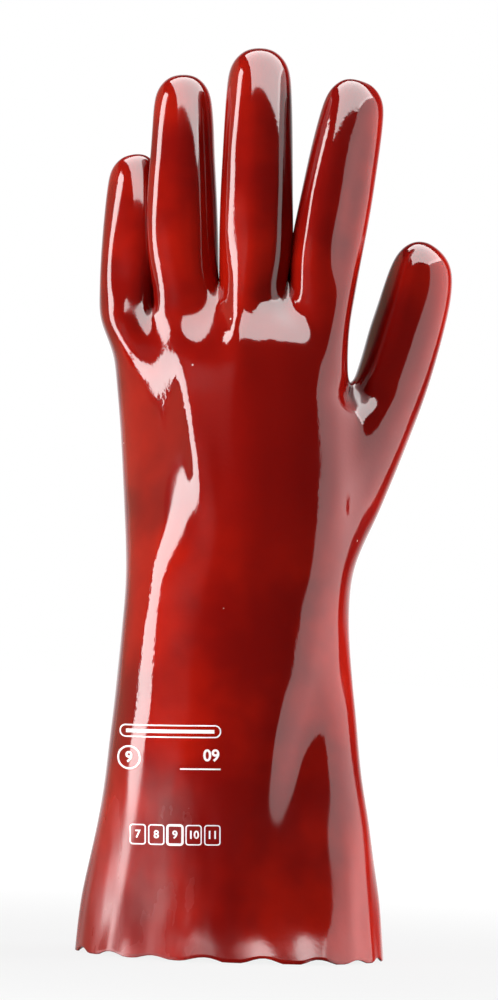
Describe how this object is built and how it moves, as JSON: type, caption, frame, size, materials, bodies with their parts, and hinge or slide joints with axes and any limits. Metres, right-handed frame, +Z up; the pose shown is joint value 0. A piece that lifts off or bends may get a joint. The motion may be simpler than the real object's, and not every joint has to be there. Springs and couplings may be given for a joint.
{
  "type": "pvc coated work glove",
  "caption": "Gauntlet work glove for the left hand, dipped in a thick glossy coating, with a long flared cuff cut wavy at its hem.",
  "frame": {"origin": "on the ground under the middle of the glove's width and depth, level with the flat troughs of the hem", "axes": "+Z up the fingers, +X towards the thumb's side, -Y out of the back of the hand, +Y out of the palm"},
  "size_m": [0.1372, 0.0878, 0.3515],
  "materials": {
    "red_pvc": "high gloss dipped coating, deep brick red"
  },
  "bodies": {
    "root": {"glove_shell": "red_pvc"}
  },
  "joints": []
}
